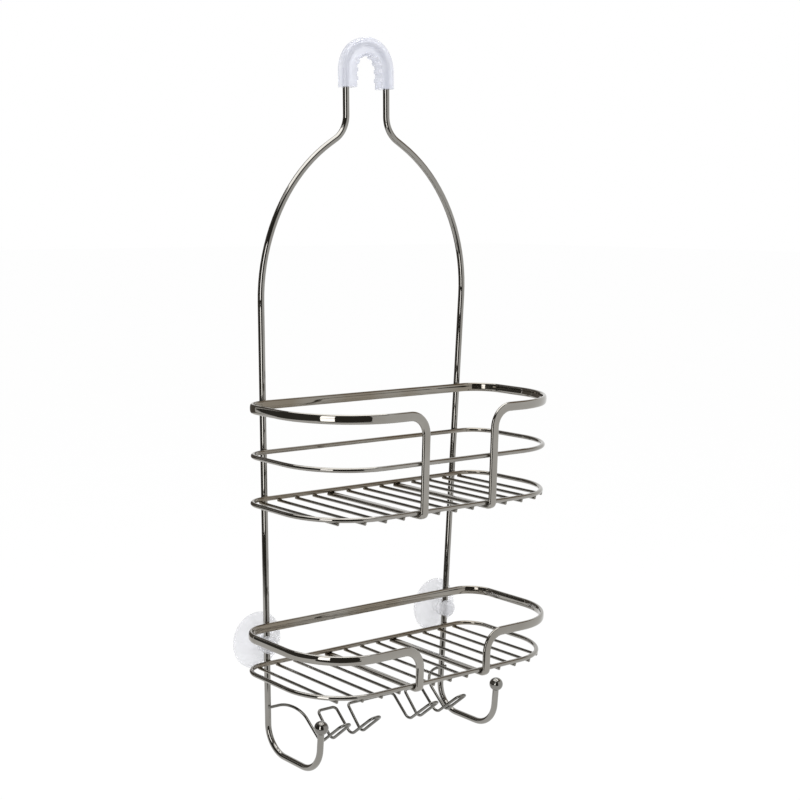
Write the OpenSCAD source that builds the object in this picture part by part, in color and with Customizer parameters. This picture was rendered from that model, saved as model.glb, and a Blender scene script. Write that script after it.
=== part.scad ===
// Hanging shower caddy: two wire baskets with flattened rims on one long bent frame wire.
// It hangs from a shower arm by a soft ribbed saddle grip, and two suction cups steady it on the wall.
//
// Axes: +X to the right as seen from the front, +Y towards the wall, +Z up.
// Heights in the Customizer are measured up from the lowest run of the frame wire.
// The finished part is moved so that the centre of the saddle grip is the origin.

/* [Frame wire] */

// Diameter of the long bent wire that carries everything
frame_wire_d = 6; // [5:0.05:6.5]
// Distance from the middle to each upright, down at the wire hooks
upright_half_span = 108.3; // [104:0.5:114]
// Outward lean of each upright, in degrees
upright_lean = 1.7; // [0.5:0.1:2.5]
// Height at which the line of each upright meets its shoulder line
shoulder_height = 511; // [495:1:525]
// Radius of the sweep from upright to shoulder
shoulder_bend_r = 157; // [100:1:165]
// Height of the middle of the saddle grip
saddle_height = 623.6; // [610:0.1:645]
// Length of the neck, from the saddle grip's middle down to the end of the shoulder line
neck_length = 54; // [45:0.5:65]
// Radius of the bend from shoulder to neck
neck_bend_r = 25; // [15:1:30]
// How far the frame has come back towards the wall where the neck starts
neck_back = 4.2; // [0:0.1:5]
// Lean of the neck back towards the wall, in degrees
neck_lean = 2.5; // [0:0.5:8]

/* [Wire hooks] */

// Reach of each hook forward from its upright
hook_depth = 76.5; // [60:0.5:95]
// Height of the ball tip's centre above the hook's lowest run
hook_rise = 44.8; // [38:0.5:55]
// How far the ball tip leans out in front of the hook's bend
hook_opening = 2.6; // [0:0.1:4]
// Radius of the two bends of a hook
hook_bend_r = 17; // [10:0.5:18]
// Diameter of the ball tip
ball_d = 13; // [10:0.5:16]
// Radial clearance of the blind hole in the ball
ball_clearance = 0.05; // [0.02:0.01:0.1]

/* [Saddle grip] */

// Radius of the arm that the ribs of the grip rest on
grip_crest_r = 13; // [11:0.5:14]
// Half the distance between the two sides of the wire loop over the shower arm
grip_wire_r = 23.75; // [22:0.25:26]
// Length of straight wire left at the top of that loop
loop_flat = 0.8; // [0.4:0.1:4]
// Outside radius of the grip
grip_outer_r = 29.5; // [29:0.25:33]
// Thickness of the grip along the shower arm
grip_thickness = 12; // [10:0.5:14]
// Length of the straight limbs of the grip
grip_limb = 15.5; // [14:0.5:22]
// Height of the ribs inside the grip
rib_height = 1.3; // [0.8:0.1:1.8]
// Half the width of one rib
rib_r = 1.8; // [1.8:0.1:2.2]
// Number of rib gaps round the half circle
rib_gaps = 6; // [4:1:6]
// Corner radius of the grip's outside edges
grip_edge_r = 3; // [1:0.5:4]
// Corner radius of the grip's inside edges
grip_lip_r = 1.2; // [0.5:0.1:2]
// Clearance between the wire and the channel inside the grip
grip_clearance = 0.05; // [0.02:0.01:0.1]

/* [Baskets] */

// Width of the flattened wire of the rims and their legs
strip_width = 8.3; // [7:0.1:9]
// Thickness of that flattened wire
strip_thickness = 4; // [3:0.1:4.5]
// Diameter of the ring wires
ring_wire_d = 4.2; // [3.4:0.1:4.5]
// Diameter of the thin floor wires
floor_wire_d = 2.8; // [2.4:0.1:3.2]
// Width of the rings between wire centres
ring_width = 285.6; // [275:0.2:295]
// Distance from the uprights forward to the front of the rings, between wire centres
ring_reach = 128; // [115:1:140]
// Radius of the front corners of the upper basket's rings
upper_ring_front_r = 60; // [35:0.5:65]
// Radius of the front corners of the lower basket's ring
lower_ring_front_r = 54.5; // [35:0.5:65]
// Radius of the back corners of the rings
ring_back_r = 22.5; // [15:0.5:25]
// How much further out than the rings each side of a rim runs
rim_overhang = 2.6; // [1:0.1:6]
// Radius of the front corners of the upper rim
upper_rim_front_r = 71.5; // [35:0.5:75]
// Radius of the front corners of the lower rim
lower_rim_front_r = 57; // [35:0.5:75]
// Radius of the back corners of the rims
rim_back_r = 25; // [15:0.5:28]
// Height of the upper basket's floor ring
upper_ring_height = 241.9; // [225:0.1:260]
// Rise from the upper basket's floor ring to its rim
upper_rise = 85.7; // [75:0.1:95]
// Height of the lower basket's floor ring
lower_ring_height = 85.9; // [78:0.1:95]
// Rise from the lower basket's floor ring to its rim
lower_rise = 34.5; // [32:0.1:45]
// Radius of the bend from a rim down into its leg
leg_top_r = 18; // [12:0.5:20]
// Distance from the outermost floor wires to the sides of their ring, between wire centres
floor_end_gap = 21; // [18:0.5:26]
// How far floor wires run past the front of the ring's centre line
floor_front_tail = 0.8; // [0:0.1:2]
// How far floor wires run past the back of the ring's centre line
floor_back_tail = 2.4; // [0.5:0.1:2.8]
// How deep each wire melts into the next one where they are welded
weld_sink = 0.1; // [0.02:0.01:0.1]

/* [Razor hooks] */

// Diameter of the razor hook wire
razor_wire_d = 2.8; // [2.4:0.1:3.2]
// Height at which the razor wire is welded to the uprights
razor_weld_height = 42.6; // [38:0.1:50]
// How far the ends of the razor wire run out past the uprights
razor_tail = 2; // [0:0.5:4]
// Forward reach of the bar that joins the razor hooks
razor_bar_reach = 18.3; // [15:0.1:22]
// Height of that bar
razor_bar_height = 34.1; // [31:0.1:37]
// Forward reach of the seat of a razor hook
razor_seat_reach = 41.2; // [36:0.1:46]
// Height of that seat
razor_seat_height = 12.8; // [8:0.1:16]
// Forward reach of the tip of a razor hook
razor_tip_reach = 70.3; // [62:0.1:72]
// Height of that tip
razor_tip_height = 37.6; // [32:0.1:42]
// Distance from the middle to the inner razor hooks
razor_inner_x = 36; // [30:0.5:42]
// Spacing of the two razor hooks on one side
razor_pitch = 36; // [30:0.5:38]
// Gap between the two arms of a razor hook at the bar, between wire centres
razor_bar_gap = 14.7; // [12:0.1:17]
// The same gap at the seat
razor_seat_gap = 12.7; // [10:0.1:15]
// The same gap at the tip
razor_tip_gap = 6; // [5:0.1:8]
// Length of straight wire left across the tip
razor_tip_flat = 0.6; // [0.2:0.1:1.5]
// Radius of the bends beside the bar
razor_bend_r = 4; // [3:0.1:4.5]
// Radius of the bend at the seat
razor_seat_r = 7; // [4:0.1:9]

/* [Suction cups] */

// Diameter of a suction cup
cup_d = 54; // [44:0.5:58]
// Distance from the uprights back to the plane of the cups' rims
cup_reach = 16.5; // [14:0.1:20]
// Depth of the hollow of a cup
cup_hollow = 4; // [2.5:0.1:5]
// Thickness of a cup's disc near its middle
cup_wall = 2.4; // [1.6:0.1:3]
// Width of the flat rim that touches the wall
cup_lip = 1.2; // [0.8:0.1:2]
// Thickness of that rim
cup_lip_t = 0.8; // [0.5:0.1:1.2]
// Radius of the neck between disc and head
cup_neck_r = 6.2; // [5:0.1:6.6]
// Radius of the head that the upright passes through
cup_head_r = 8.3; // [7.4:0.1:8.8]
// How far the head reaches in front of the upright's centre
cup_head_front = 8.6; // [7:0.1:9.5]
// How far the head reaches behind the upright's centre
cup_head_back = 4.6; // [4:0.1:5]
// Corner radius of the front of the head
cup_head_edge = 4; // [2:0.1:4.5]
// Radial clearance between a cup's bore and the upright
cup_clearance = 0.05; // [0.02:0.01:0.1]
// Width of the slit through which a cup snaps on to the upright
cup_slit = 3.6; // [2.5:0.1:4]

/* [Hidden] */

$fn = 40;

// How far the radius of a bend exceeds that of the straights, and how far these run into it.
BEND_PROUD = 0.01;
BEND_OVERLAP = 0.1;

// Floor wires on each side of the middle one, and which of them is the leg of a rim.
FLOOR_SIDE_COUNT = 6;
LEG_STEP = 2;

STEEL = [0.42, 0.41, 0.39];
DARK_STEEL = [0.36, 0.35, 0.33];
CLEAR_PVC = [0.86, 0.87, 0.92];
SOFT_PVC = [0.78, 0.78, 0.85];

FRAME_R = frame_wire_d / 2;
STRIP_R = strip_thickness / 2;
RING_R = ring_wire_d / 2;
FLOOR_R = floor_wire_d / 2;
RAZOR_R = razor_wire_d / 2;

// Where the frame wire runs.
UPRIGHT_SLOPE = tan(upright_lean);
NECK_DIRECTION = [0, sin(neck_lean), cos(neck_lean)];
NECK_HEIGHT = saddle_height - neck_length * cos(neck_lean);
SADDLE_BACK = neck_back + neck_length * sin(neck_lean);
SADDLE = [0, SADDLE_BACK, saddle_height];

// Where the basket wires touch the uprights and each other.
RIM_BACK = weld_sink - FRAME_R - STRIP_R;
RING_BACK = weld_sink - FRAME_R - RING_R;
RING_FRONT = -ring_reach;
RIM_FRONT = RING_FRONT - RING_R - STRIP_R + weld_sink;
RING_HALF = ring_width / 2;
RIM_HALF = RING_HALF + rim_overhang;
FLOOR_DROP = RING_R + FLOOR_R - weld_sink;
// A leg turns back under the floor with its bend wrapped round the ring.
LEG_DROP = RING_R + STRIP_R - weld_sink;
FLOOR_PITCH = (RING_HALF - floor_end_gap) / FLOOR_SIDE_COUNT;
LEG_X = LEG_STEP * FLOOR_PITCH;
FLOOR_STEPS = [
    for (step = [-FLOOR_SIDE_COUNT:FLOOR_SIDE_COUNT])
        if (abs(step) != LEG_STEP)
            step
];

UPPER_RIM_HEIGHT = upper_ring_height + upper_rise;
UPPER_MIDDLE_HEIGHT = upper_ring_height + upper_rise / 2;
LOWER_RIM_HEIGHT = lower_ring_height + lower_rise;

// The cups sit midway between the lower basket's rim and floor ring.
CUP_HEIGHT = lower_ring_height + lower_rise / 2;
CUP_FRONT = cup_reach - cup_hollow - cup_wall;

// The valleys between the ribs of the saddle grip.
GRIP_VALLEY_R = grip_crest_r + rib_height;

// ---------------------------------------------------------------- geometry

function unit(v) = v / norm(v);

// Angle that a path turns through at its corner b.
function turn_angle(a, b, c) = acos(max(-1, min(1, unit(b - a) * unit(c - b))));

// Distance from the corner b to where a bend of radius r starts and ends.
function setback(a, b, c, r) = r * tan(turn_angle(a, b, c) / 2);

// X of the upright's centre line at a height.
function upright_x(height) = upright_half_span + height * UPRIGHT_SLOPE;

function mirror_x(point) = [-point[0], point[1], point[2]];

// A path that starts on the right, followed by its mirror image back out on the left.
function mirrored_path(points) =
    concat(points, [for (i = [len(points) - 1:-1:0]) mirror_x(points[i])]);
function mirrored_bends(radii) = concat(radii, [for (i = [len(radii) - 1:-1:0]) radii[i]]);

// Moves the model so that the middle of the saddle grip is the origin.
module from_saddle() {
    translate(-SADDLE)
        children();
}

// ---------------------------------------------------------------- bent wire

// The start and end of the straight run after corner i of a path. Each runs a hair into its bend.
function run_ends(path, bends, i) =
    let (
        along = unit(path[i + 1] - path[i]),
        before = i == 0 ? 0
            : setback(path[i - 1], path[i], path[i + 1], bends[i]) - BEND_OVERLAP,
        after = i == len(path) - 2 ? 0
            : setback(path[i], path[i + 1], path[i + 2], bends[i + 1]) - BEND_OVERLAP
    )
        [path[i] + along * before, path[i + 1] - along * after];

// Sweeps a section round the corner b of a path, on its way from a to c. The section's X points
// away from the centre of the bend, and its Y along the axis of the bend.
module swept_bend(a, b, c, r) {
    along = unit(b - a);
    ahead = unit(c - b);
    inward = unit(ahead - along * (along * ahead));
    normal = cross(along, inward);
    centre = b - along * setback(a, b, c, r) + inward * r;
    multmatrix([
        [-inward[0], along[0], normal[0], centre[0]],
        [-inward[1], along[1], normal[1], centre[1]],
        [-inward[2], along[2], normal[2], centre[2]],
        [0, 0, 0, 1]
    ])
        rotate_extrude(angle = turn_angle(a, b, c))
            translate([r, 0])
                children();
}

// One straight length of round wire between two points.
module wire_straight(start, end, d) {
    run = end - start;
    translate(start)
        rotate([0, acos(run[2] / norm(run)), atan2(run[1], run[0])])
            cylinder(h = norm(run), d = d);
}

// A round wire along the corners of a path, each corner rounded by its own bend radius.
// The first and last entries of bends stand for the two ends and aren't used.
// Between two bends there has to be a little straight wire. The bends are a hair thicker than
// the straights that run into them, so that the two always fuse into one clean solid.
module bent_wire(path, bends, d) {
    for (i = [0:len(path) - 2]) {
        ends = run_ends(path, bends, i);
        wire_straight(ends[0], ends[1], d);
    }
    for (i = [1:len(path) - 2])
        swept_bend(path[i - 1], path[i], path[i + 1], bends[i])
            circle(d = d + 2 * BEND_PROUD);
}

// Cross-section of flattened wire, rounded at both edges, with its width along X.
module strip_section(width, thickness) {
    flat = width - thickness;
    square([flat, thickness], center = true);
    for (side = [-1, 1])
        translate([side * flat / 2, 0])
            circle(d = thickness);
}

// One straight length of flattened wire, its width along the unit vector wide.
module strip_straight(start, end, wide) {
    along = unit(end - start);
    thin = cross(along, wide);
    multmatrix([
        [wide[0], thin[0], along[0], start[0]],
        [wide[1], thin[1], along[1], start[1]],
        [wide[2], thin[2], along[2], start[2]],
        [0, 0, 0, 1]
    ])
        linear_extrude(height = norm(end - start))
            strip_section(strip_width, strip_thickness);
}

// A flattened wire along the corners of a path, like bent_wire. Wides holds the direction of its
// width for each straight run; a bend whose axis lies across that direction is bent edgewise.
module bent_strip(path, bends, wides) {
    for (i = [0:len(path) - 2]) {
        ends = run_ends(path, bends, i);
        strip_straight(ends[0], ends[1], wides[i]);
    }
    for (i = [1:len(path) - 2]) {
        edgewise = abs(wides[i - 1] * unit(path[i + 1] - path[i])) > 0.5;
        swept_bend(path[i - 1], path[i], path[i + 1], bends[i])
            rotate(edgewise ? 0 : 90)
                strip_section(strip_width + 2 * BEND_PROUD, strip_thickness + 2 * BEND_PROUD);
    }
}

// ---------------------------------------------------------------- frame wire

BALL_CENTRE = [upright_x(0), -hook_depth - hook_opening, hook_rise];

// From the right hook's tip down, back, up the upright, over the shoulder and up the neck.
FRAME_CORNERS = [
    BALL_CENTRE,
    [upright_x(0), -hook_depth, 0],
    [upright_x(0), 0, 0],
    [upright_x(shoulder_height), 0, shoulder_height],
    [grip_wire_r, neck_back, NECK_HEIGHT],
    SADDLE + [grip_wire_r, 0, 0] + NECK_DIRECTION * grip_wire_r
];
LOOP_R = grip_wire_r - loop_flat / 2;
FRAME_BENDS = [0, hook_bend_r, hook_bend_r, shoulder_bend_r, neck_bend_r, LOOP_R];

module frame_wire() {
    color(STEEL)
        from_saddle()
            bent_wire(mirrored_path(FRAME_CORNERS), mirrored_bends(FRAME_BENDS), frame_wire_d);
}

// The ball on a hook's tip: a blind hole takes the end of the wire up to the ball's centre.
module hook_ball() {
    bore_r = FRAME_R + ball_clearance;
    difference() {
        sphere(d = ball_d);
        rotate([atan2(hook_opening, hook_rise), 0, 0])
            translate([0, 0, -ball_d])
                cylinder(h = ball_d + ball_clearance, r = bore_r);
    }
}

module hook_ball_right() {
    color(DARK_STEEL)
        from_saddle()
            translate(BALL_CENTRE)
                hook_ball();
}

module hook_ball_left() {
    color(DARK_STEEL)
        from_saddle()
            translate(mirror_x(BALL_CENTRE))
                hook_ball();
}

// ---------------------------------------------------------------- saddle grip

// Rectangle from r_in to r_out with rounded corners, the inner and outer ones of their own radii.
module grip_section(r_in, r_out) {
    half = grip_thickness / 2;
    translate([r_in, grip_lip_r - half])
        square([grip_edge_r, grip_thickness - 2 * grip_lip_r]);
    translate([r_in + grip_lip_r, -half])
        square([r_out - r_in - grip_lip_r - grip_edge_r, grip_thickness]);
    translate([r_in + grip_lip_r, grip_edge_r - half])
        square([r_out - r_in - grip_lip_r, grip_thickness - 2 * grip_edge_r]);
    for (side = [-1, 1]) {
        translate([r_in + grip_lip_r, side * (half - grip_lip_r)])
            circle(r = grip_lip_r);
        translate([r_out - grip_edge_r, side * (half - grip_edge_r)])
            circle(r = grip_edge_r);
    }
}

// A rib that runs along the shower arm, sunk into the valley surface so that its crest stands proud.
module grip_rib() {
    rotate([90, 0, 0])
        translate([rib_r + grip_crest_r, 0, 0])
            cylinder(h = grip_thickness - 2 * grip_lip_r, r = rib_r, center = true);
}

// The grip about its own centre, with the shower arm along Y.
module grip_body() {
    rotate([90, 0, 0])
        rotate_extrude(angle = 180)
            grip_section(GRIP_VALLEY_R, grip_outer_r);
    for (side = [0, 180])
        rotate([0, 0, side])
            translate([0, 0, -grip_limb])
                linear_extrude(height = grip_limb)
                    grip_section(GRIP_VALLEY_R, grip_outer_r);
    for (gap = [0:rib_gaps])
        rotate([0, -gap * 180 / rib_gaps, 0])
            grip_rib();
    rib_step = PI * GRIP_VALLEY_R / rib_gaps;
    for (side = [0, 180])
        for (drop = [rib_step:rib_step:grip_limb - rib_r])
            rotate([0, 0, side])
                translate([0, 0, -drop])
                    grip_rib();
}

module arm_grip() {
    below = -grip_limb - grip_thickness;
    color(SOFT_PVC)
        rotate([-neck_lean, 0, 0])
            difference() {
                grip_body();
                bent_wire(
                    mirrored_path([[grip_wire_r, 0, below], [grip_wire_r, 0, grip_wire_r]]),
                    mirrored_bends([0, LOOP_R]),
                    frame_wire_d + 2 * grip_clearance
                );
            }
}

// ---------------------------------------------------------------- baskets

// Rim, legs and the two thick floor wires of a basket: one flattened wire bent from end to end.
// It runs forward under the floor, up a leg, round the rim and back the same way on the other side.
module basket_rim(rim_height, ring_height, front_r) {
    under = ring_height - LEG_DROP;
    corners = [
        [LEG_X, RING_BACK + floor_back_tail, under],
        [LEG_X, RIM_FRONT, under],
        [LEG_X, RIM_FRONT, rim_height],
        [RIM_HALF, RIM_FRONT, rim_height],
        [RIM_HALF, RIM_BACK, rim_height]
    ];
    bends = [0, LEG_DROP, leg_top_r, front_r, rim_back_r];
    level = [0, 0, 1];
    across = [1, 0, 0];
    wides = [across, across, level, level, level, level, level, across, across];
    bent_strip(mirrored_path(corners), mirrored_bends(bends), wides);
}

// A closed ring, butt-welded in the middle of its back.
module basket_ring(height, front_r) {
    corners = [
        [0, RING_BACK, height],
        [RING_HALF, RING_BACK, height],
        [RING_HALF, RING_FRONT, height]
    ];
    bends = [0, ring_back_r, front_r];
    bent_wire(mirrored_path(corners), mirrored_bends(bends), ring_wire_d);
}

// How far a ring's rounded front corner has turned back at a place x.
function corner_setback(x, front_r) =
    let (into = max(0, abs(x) - RING_HALF + front_r))
        front_r - sqrt(pow(front_r, 2) - pow(into, 2));

// One thin floor wire, laid under the ring from front to back.
module floor_wire(step, ring_height, front_r) {
    x = step * FLOOR_PITCH;
    z = ring_height - FLOOR_DROP;
    front = RING_FRONT + corner_setback(x, front_r) - floor_front_tail;
    wire_straight([x, front, z], [x, RING_BACK + floor_back_tail, z], floor_wire_d);
}

module upper_rim() {
    color(STEEL)
        from_saddle()
            basket_rim(UPPER_RIM_HEIGHT, upper_ring_height, upper_rim_front_r);
}

module upper_middle_ring() {
    color(DARK_STEEL)
        from_saddle()
            basket_ring(UPPER_MIDDLE_HEIGHT, upper_ring_front_r);
}

module upper_floor_ring() {
    color(DARK_STEEL)
        from_saddle()
            basket_ring(upper_ring_height, upper_ring_front_r);
}

module upper_floor_wire(index) {
    color(DARK_STEEL)
        from_saddle()
            floor_wire(FLOOR_STEPS[index], upper_ring_height, upper_ring_front_r);
}

module lower_rim() {
    color(STEEL)
        from_saddle()
            basket_rim(LOWER_RIM_HEIGHT, lower_ring_height, lower_rim_front_r);
}

module lower_floor_ring() {
    color(DARK_STEEL)
        from_saddle()
            basket_ring(lower_ring_height, lower_ring_front_r);
}

module lower_floor_wire(index) {
    color(DARK_STEEL)
        from_saddle()
            floor_wire(FLOOR_STEPS[index], lower_ring_height, lower_ring_front_r);
}

// ---------------------------------------------------------------- razor hooks

// The corners of one razor hook about x, from its right arm at the bar round to its left arm.
function razor_hook(x) = [
    for (side = [1, -1])
        for (corner = side > 0 ? [0, 1, 2] : [2, 1, 0])
            [
                x + side * [razor_bar_gap, razor_seat_gap, razor_tip_gap][corner] / 2,
                -[razor_bar_reach, razor_seat_reach, razor_tip_reach][corner],
                [razor_bar_height, razor_seat_height, razor_tip_height][corner]
            ]
];

// One wire from upright to upright. It comes in from the side, drops into the outer hook and
// runs on along the bar to the next one, so the outermost corner of each side lies at the weld.
module razor_hook_wire() {
    weld_back = weld_sink - FRAME_R - RAZOR_R;
    outer = razor_hook(razor_inner_x + razor_pitch);
    inner = razor_hook(razor_inner_x);
    lead_in = [outer[0][0], weld_back, razor_weld_height];
    corners = concat(
        [[upright_x(razor_weld_height) + razor_tail, weld_back, razor_weld_height], lead_in],
        [for (i = [1:5]) outer[i]],
        inner
    );
    tip_r = (razor_tip_gap - razor_tip_flat) / 2;
    hook_bends = [razor_bend_r, razor_seat_r, tip_r, tip_r, razor_seat_r, razor_bend_r];
    bends = concat([0], hook_bends, hook_bends);
    color(STEEL)
        from_saddle()
            bent_wire(mirrored_path(corners), mirrored_bends(bends), razor_wire_d);
}

// ---------------------------------------------------------------- suction cups

// Radius of the arc that is rise deep over half a chord.
function arc_radius(half_chord, rise) =
    (pow(half_chord, 2) + pow(rise, 2)) / (2 * rise);

// Half section of the disc: radius to the right, distance towards the wall upward.
module cup_disc_section() {
    cup_r = cup_d / 2;
    back_r = arc_radius(cup_r, cup_reach - cup_lip_t - CUP_FRONT);
    hollow_r = arc_radius(cup_r - cup_lip, cup_hollow);
    difference() {
        intersection() {
            translate([0, CUP_FRONT])
                square([cup_r, cup_reach - CUP_FRONT]);
            translate([0, CUP_FRONT + back_r])
                circle(r = back_r, $fn = 240);
        }
        translate([0, cup_reach - cup_hollow + hollow_r])
            circle(r = hollow_r, $fn = 240);
    }
}

// Half section of the head and neck, rounded at the front.
module cup_head_section() {
    square([cup_neck_r, CUP_FRONT + cup_wall / 2]);
    translate([0, cup_head_edge - cup_head_front])
        square([cup_head_r, cup_head_back + cup_head_front - cup_head_edge]);
    translate([0, -cup_head_front])
        square([cup_head_r - cup_head_edge, cup_head_edge]);
    intersection() {
        translate([cup_head_r - cup_head_edge, cup_head_edge - cup_head_front])
            circle(r = cup_head_edge);
        translate([0, -cup_head_front])
            square([cup_head_r, cup_head_edge]);
    }
}

// A cup about the upright's centre line, facing the wall. Side is 1 on the right and -1 on the left.
module suction_cup(side) {
    bore_r = FRAME_R + cup_clearance;
    reach = 2 * cup_head_r;
    difference() {
        rotate([-90, 0, 0])
            rotate_extrude() {
                cup_disc_section();
                cup_head_section();
            }
        rotate([0, side * upright_lean, 0]) {
            cylinder(h = 2 * reach, r = bore_r, center = true);
            translate([-reach, -cup_slit / 2, -reach])
                cube([reach, cup_slit, 2 * reach]);
        }
    }
}

module suction_cup_right() {
    color(CLEAR_PVC)
        from_saddle()
            translate([upright_x(CUP_HEIGHT), 0, CUP_HEIGHT])
                suction_cup(1);
}

module suction_cup_left() {
    color(CLEAR_PVC)
        from_saddle()
            translate([-upright_x(CUP_HEIGHT), 0, CUP_HEIGHT])
                suction_cup(-1);
}

// ---------------------------------------------------------------- parts

frame_wire();
hook_ball_left();
hook_ball_right();
arm_grip();
upper_rim();
upper_middle_ring();
upper_floor_ring();
lower_rim();
lower_floor_ring();
razor_hook_wire();
suction_cup_left();
suction_cup_right();
for (i = [0:len(FLOOR_STEPS) - 1]) {
    upper_floor_wire(i);
    lower_floor_wire(i);
}
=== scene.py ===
"""Dresses the hanging shower caddy: plated wire, soft clear grip and cups, weld nuggets, and its studio.

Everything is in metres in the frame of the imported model: +X to the right, +Y towards the wall,
+Z up, with the origin in the middle of the saddle grip.
"""
import logging
import math
from collections.abc import Callable
from dataclasses import dataclass
from enum import Enum

import bpy
from mathutils import Euler, Matrix, Vector


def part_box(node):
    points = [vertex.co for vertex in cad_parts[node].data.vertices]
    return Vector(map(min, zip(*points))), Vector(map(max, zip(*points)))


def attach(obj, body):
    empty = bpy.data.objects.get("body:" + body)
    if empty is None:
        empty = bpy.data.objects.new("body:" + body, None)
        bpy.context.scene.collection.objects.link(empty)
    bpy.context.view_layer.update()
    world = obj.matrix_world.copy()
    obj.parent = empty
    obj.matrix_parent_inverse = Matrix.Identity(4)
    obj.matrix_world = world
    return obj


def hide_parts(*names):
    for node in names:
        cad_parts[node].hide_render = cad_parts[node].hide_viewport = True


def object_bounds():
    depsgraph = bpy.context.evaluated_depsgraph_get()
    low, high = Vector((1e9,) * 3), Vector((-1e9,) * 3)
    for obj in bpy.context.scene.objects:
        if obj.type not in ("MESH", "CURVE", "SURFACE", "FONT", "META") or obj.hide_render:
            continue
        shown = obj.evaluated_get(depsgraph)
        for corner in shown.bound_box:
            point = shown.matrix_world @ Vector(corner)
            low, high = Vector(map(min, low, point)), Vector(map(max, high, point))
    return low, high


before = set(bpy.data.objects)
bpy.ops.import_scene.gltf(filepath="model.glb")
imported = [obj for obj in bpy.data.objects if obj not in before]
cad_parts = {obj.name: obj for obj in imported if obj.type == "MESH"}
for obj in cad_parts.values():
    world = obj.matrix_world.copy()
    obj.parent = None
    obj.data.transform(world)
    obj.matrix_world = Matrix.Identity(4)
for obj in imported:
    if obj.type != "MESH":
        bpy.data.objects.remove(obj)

log = logging.getLogger("shower_caddy")
CAD_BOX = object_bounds()

Piece = bpy.types.Object
Triple = tuple[float, float, float]

MM = 0.001
DOUBLES = 0.005 * MM
CADDY = "caddy"
BASKETS = ("upper", "lower")
FLOOR_WIRES_A_BASKET = 11
ORIGIN = (0.0, 0.0, 0.0)
ALONG_Y = (0.0, 1.0, 0.0)

# Where the basket wires start and stop taking on a painted reflection: a browner tone on their back runs.
BACK_START = -0.040
BACK_END = -0.012


# ---------- shader tools


class Wave:
    """An output socket that takes part in Python arithmetic by adding Math nodes."""

    def __init__(self, shop: "MaterialShop", socket: bpy.types.NodeSocket | None) -> None:
        """Keeps the socket, and the shop that adds the nodes."""
        self.shop = shop
        self.socket = socket

    def _math(self, operation: str, *values: "Wave | float") -> "Wave":
        """Adds one Math node and returns its result."""
        return self.shop.node("Math", {"operation": operation}, dict(enumerate(values)))

    def __add__(self, other: "Wave | float") -> "Wave":
        """Adds."""
        return self._math("ADD", self, other)

    def __radd__(self, other: float) -> "Wave":
        """Adds to a number."""
        return self._math("ADD", other, self)

    def __mul__(self, other: "Wave | float") -> "Wave":
        """Multiplies."""
        return self._math("MULTIPLY", self, other)


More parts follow.
